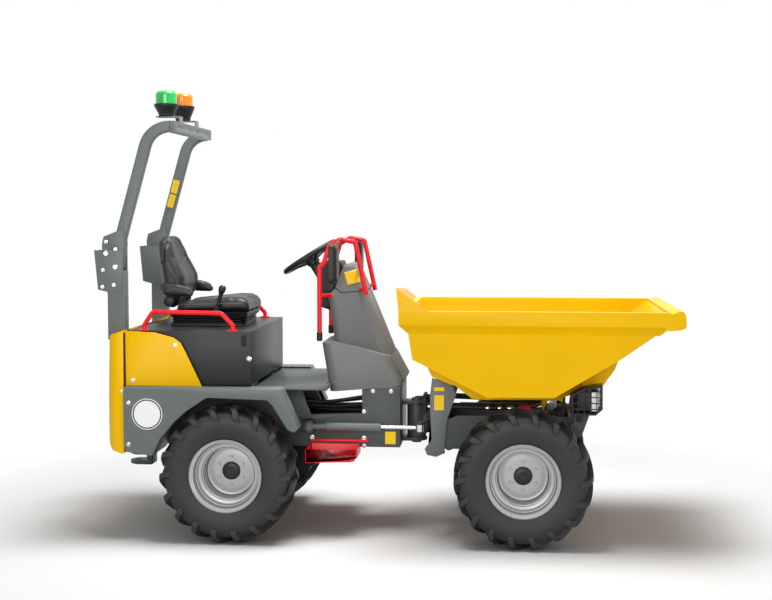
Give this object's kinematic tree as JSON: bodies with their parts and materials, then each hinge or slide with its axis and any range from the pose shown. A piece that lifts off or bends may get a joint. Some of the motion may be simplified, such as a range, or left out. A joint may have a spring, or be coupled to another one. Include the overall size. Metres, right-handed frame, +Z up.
{
  "type": "articulated site dumper",
  "caption": "Wheeled articulated dumper with a forward-tipping skip, open driver's place with folding roll bar, and steering by the frame's middle joint.",
  "frame": {"origin": "on the ground, at the middle of the overall length and width", "axes": "+X forward towards the skip, +Y to the machine's left, +Z up"},
  "size_m": [3.345, 1.39, 2.62],
  "materials": {
    "yellow_paint": "gloss",
    "frame_grey": "satin",
    "light_grey": "satin",
    "black_paint": "satin",
    "red_paint": "gloss",
    "rim_silver": "satin",
    "tyre_rubber": "matte",
    "console_plastic": "matte",
    "black_plastic": "matte",
    "seat_vinyl": "matte",
    "beacon_green": "gloss",
    "beacon_amber": "gloss",
    "steel": "satin",
    "iron": "matte"
  },
  "bodies": {
    "rear_frame": {"rear_chassis": "frame_grey", "rear_axle": "iron", "engine_block": "iron", "rear_hood": "yellow_paint", "side_panels": "yellow_paint", "rear_fenders": "light_grey", "floor_plate": "light_grey", "console_skirt": "console_plastic", "console": "console_plastic", "steering_column": "black_plastic", "handrails": "red_paint", "mirrors": "black_plastic", "steps": "red_paint", "lock_bar": "red_paint", "rear_hitch": "frame_grey", "roll_bar_posts": "light_grey"},
    "engine_cover": {"seat_box": "black_paint", "seat_base": "black_plastic", "seat_cushion": "seat_vinyl", "seat_back": "seat_vinyl", "armrests": "black_plastic", "grab_handles": "red_paint"},
    "roll_bar": {"roll_bar_hoop": "light_grey", "beacon_bases": "black_plastic", "beacon_green": "beacon_green", "beacon_amber": "beacon_amber"},
    "steering_wheel": {"steering_wheel": "black_plastic"},
    "yoke": {"articulation_yoke": "frame_grey"},
    "front_frame": {"front_chassis": "frame_grey", "front_axle": "iron", "head_lamps": "black_plastic"},
    "skip": {"skip": "yellow_paint", "skip_rim": "yellow_paint"},
    "tip_barrel": {"tip_cylinder_barrel": "black_paint"},
    "tip_rod": {"tip_cylinder_rod": "steel"},
    "steer_barrel": {"steering_cylinder_barrel": "frame_grey"},
    "steer_rod": {"steering_cylinder_rod": "steel"},
    "wheel_rear_left": {"tyre_rear_left": "tyre_rubber", "rim_rear_left": "rim_silver"},
    "wheel_rear_right": {"tyre_rear_right": "tyre_rubber", "rim_rear_right": "rim_silver"},
    "wheel_front_left": {"tyre_front_left": "tyre_rubber", "rim_front_left": "rim_silver"},
    "wheel_front_right": {"tyre_front_right": "tyre_rubber", "rim_front_right": "rim_silver"}
  },
  "joints": [
    {"name": "wheel_rear_left_spin", "type": "hinge", "parent": "rear_frame", "child": "wheel_rear_left", "pos_m": [-0.888, 0.535, 0.3925], "axis": [0, 1, 0], "continuous": true},
    {"name": "wheel_rear_right_spin", "type": "hinge", "parent": "rear_frame", "child": "wheel_rear_right", "pos_m": [-0.888, -0.535, 0.3925], "axis": [0, 1, 0], "continuous": true},
    {"name": "wheel_front_left_spin", "type": "hinge", "parent": "front_frame", "child": "wheel_front_left", "pos_m": [0.792, 0.535, 0.3925], "axis": [0, 1, 0], "continuous": true},
    {"name": "wheel_front_right_spin", "type": "hinge", "parent": "front_frame", "child": "wheel_front_right", "pos_m": [0.792, -0.535, 0.3925], "axis": [0, 1, 0], "continuous": true},
    {"name": "articulation_steer", "type": "hinge", "parent": "rear_frame", "child": "yoke", "pos_m": [0.152, 0, 0.63], "axis": [0, 0, 1], "range_deg": [-30, 30]},
    {"name": "frame_oscillation", "type": "hinge", "parent": "yoke", "child": "front_frame", "pos_m": [0.252, 0, 0.63], "axis": [1, 0, 0], "range_deg": [-10, 10]},
    {"name": "skip_tip", "type": "hinge", "parent": "front_frame", "child": "skip", "pos_m": [1.162, 0, 0.83], "axis": [0, 1, 0], "range_deg": [0, 75]},
    {"name": "tip_cylinder_pivot", "type": "hinge", "parent": "front_frame", "child": "tip_barrel", "pos_m": [0.362, 0, 0.52], "axis": [0, 1, 0], "range_deg": [-16.49, 0]},
    {"name": "tip_cylinder_stroke", "type": "slide", "parent": "tip_barrel", "child": "tip_rod", "axis": [0.937, 0, 0.3494], "range_m": [0, 0.1544]},
    {"name": "steering_cylinder_pivot", "type": "hinge", "parent": "rear_frame", "child": "steer_barrel", "pos_m": [-0.463, -0.31, 0.63], "axis": [0, 0, 1], "range_deg": [-3, 3]},
    {"name": "steering_cylinder_stroke", "type": "slide", "parent": "steer_barrel", "child": "steer_rod", "axis": [1, 0, 0], "range_m": [-0.1591, 0.1591]},
    {"name": "steering_wheel_turn", "type": "hinge", "parent": "rear_frame", "child": "steering_wheel", "pos_m": [-0.473, 0, 1.577], "axis": [-0.5299, 0, 0.848], "continuous": true},
    {"name": "engine_cover_hinge", "type": "hinge", "parent": "rear_frame", "child": "engine_cover", "pos_m": [-1.46, 0, 1.183], "axis": [0, -1, 0], "range_deg": [0, 40]},
    {"name": "roll_bar_fold", "type": "hinge", "parent": "rear_frame", "child": "roll_bar", "pos_m": [-1.602, 0, 1.648], "axis": [0, -1, 0], "range_deg": [0, 150]}
  ],
  "couplings": [
    {"joint": "tip_cylinder_pivot", "follows": "skip_tip", "ratio": -0.2156},
    {"joint": "tip_cylinder_stroke", "follows": "skip_tip", "m_per_rad": 0.11675},
    {"joint": "steering_cylinder_pivot", "follows": "articulation_steer", "ratio": 0.034427},
    {"joint": "steering_cylinder_stroke", "follows": "articulation_steer", "m_per_rad": 0.29794}
  ]
}
